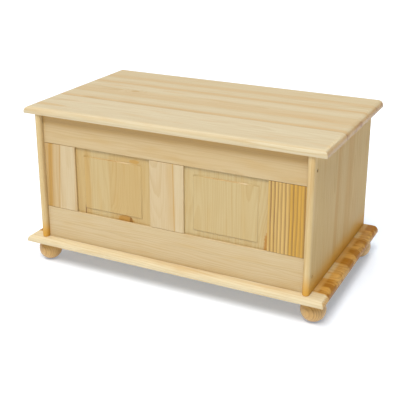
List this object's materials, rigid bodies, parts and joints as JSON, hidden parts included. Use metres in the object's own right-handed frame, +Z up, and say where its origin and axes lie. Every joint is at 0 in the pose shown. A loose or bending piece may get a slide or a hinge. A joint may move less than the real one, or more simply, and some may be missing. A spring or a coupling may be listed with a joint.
{
  "type": "wooden toy box",
  "caption": "Pine toy box with a frame-and-panel front, moulded plinth and ball feet; its lid turns on butt hinges at the back and a folding stay holds it at any height.",
  "frame": {"origin": "on the floor under the middle of the whole box, with the lid shut", "axes": "+X to the right of someone in front of the box, along its width; the front faces -Y; +Z up"},
  "size_m": [0.885, 0.511, 0.466],
  "materials": {
    "lacquered_pine": "clear satin lacquer on edge-glued pine",
    "turned_pine": "clear satin lacquer on turned pine",
    "beech": "bare",
    "zinc_plated_steel": "bright zinc plate",
    "brassed_steel": "electro-brassed"
  },
  "bodies": {
    "box": {"back_board": "lacquered_pine", "back_left_foot": "turned_pine", "back_left_foot_bolt": "zinc_plated_steel", "back_right_foot": "turned_pine", "back_right_foot_bolt": "zinc_plated_steel", "bottom_rail": "lacquered_pine", "centre_stile": "lacquered_pine", "front_left_foot": "turned_pine", "front_left_foot_bolt": "zinc_plated_steel", "front_right_foot": "turned_pine", "front_right_foot_bolt": "zinc_plated_steel", "left_bottom_rail_screw": "zinc_plated_steel", "left_hinge_fixed_inner_screw": "brassed_steel", "left_hinge_fixed_leaf": "brassed_steel", "left_hinge_fixed_outer_screw": "brassed_steel", "left_hinge_pin": "brassed_steel", "left_lower_back_dowel": "beech", "left_raised_panel": "lacquered_pine", "left_side_board": "lacquered_pine", "left_stile": "lacquered_pine", "left_top_rail_screw": "zinc_plated_steel", "left_upper_back_dowel": "beech", "plinth_board": "lacquered_pine", "right_bottom_rail_screw": "zinc_plated_steel", "right_hinge_fixed_inner_screw": "brassed_steel", "right_hinge_fixed_leaf": "brassed_steel", "right_hinge_fixed_outer_screw": "brassed_steel", "right_hinge_pin": "brassed_steel", "right_lower_back_dowel": "beech", "right_raised_panel": "lacquered_pine", "right_side_board": "lacquered_pine", "right_stile": "lacquered_pine", "right_top_rail_screw": "zinc_plated_steel", "right_upper_back_dowel": "beech", "stay_side_bracket": "zinc_plated_steel", "stay_side_lower_screw": "zinc_plated_steel", "stay_side_rivet": "zinc_plated_steel", "stay_side_upper_screw": "zinc_plated_steel", "top_rail": "lacquered_pine"},
    "lid": {"left_batten_back_screw": "zinc_plated_steel", "left_batten_front_screw": "zinc_plated_steel", "left_hinge_lid_inner_screw": "brassed_steel", "left_hinge_lid_leaf": "brassed_steel", "left_hinge_lid_outer_screw": "brassed_steel", "left_lid_batten": "lacquered_pine", "lid_board": "lacquered_pine", "right_batten_back_screw": "zinc_plated_steel", "right_batten_front_screw": "zinc_plated_steel", "right_hinge_lid_inner_screw": "brassed_steel", "right_hinge_lid_leaf": "brassed_steel", "right_hinge_lid_outer_screw": "brassed_steel", "right_lid_batten": "lacquered_pine", "stay_lid_bracket": "zinc_plated_steel", "stay_lid_inner_screw": "zinc_plated_steel", "stay_lid_outer_screw": "zinc_plated_steel", "stay_lid_rivet": "zinc_plated_steel"},
    "stay_lower": {"stay_lower_arm": "zinc_plated_steel", "stay_elbow_rivet": "zinc_plated_steel"},
    "stay_upper": {"stay_upper_arm": "zinc_plated_steel"}
  },
  "joints": [
    {"name": "lid_hinge", "type": "hinge", "parent": "box", "child": "lid", "pos_m": [0, 0.2523, 0.4468], "axis": [-1, 0, 0], "range_deg": [0, 85]},
    {"name": "stay_side_pivot", "type": "hinge", "parent": "box", "child": "stay_lower", "pos_m": [-0.382, 0.2073, 0.3348], "axis": [-1, 0, 0], "range_deg": [0, 85]},
    {"name": "stay_lid_pivot", "type": "hinge", "parent": "lid", "child": "stay_upper", "pos_m": [-0.382, 0.1023, 0.4248], "axis": [1, 0, 0], "range_deg": [0, 85]}
  ],
  "couplings": [
    {"joint": "stay_side_pivot", "follows": "lid_hinge", "ratio": 1},
    {"joint": "stay_lid_pivot", "follows": "lid_hinge", "ratio": 1}
  ]
}
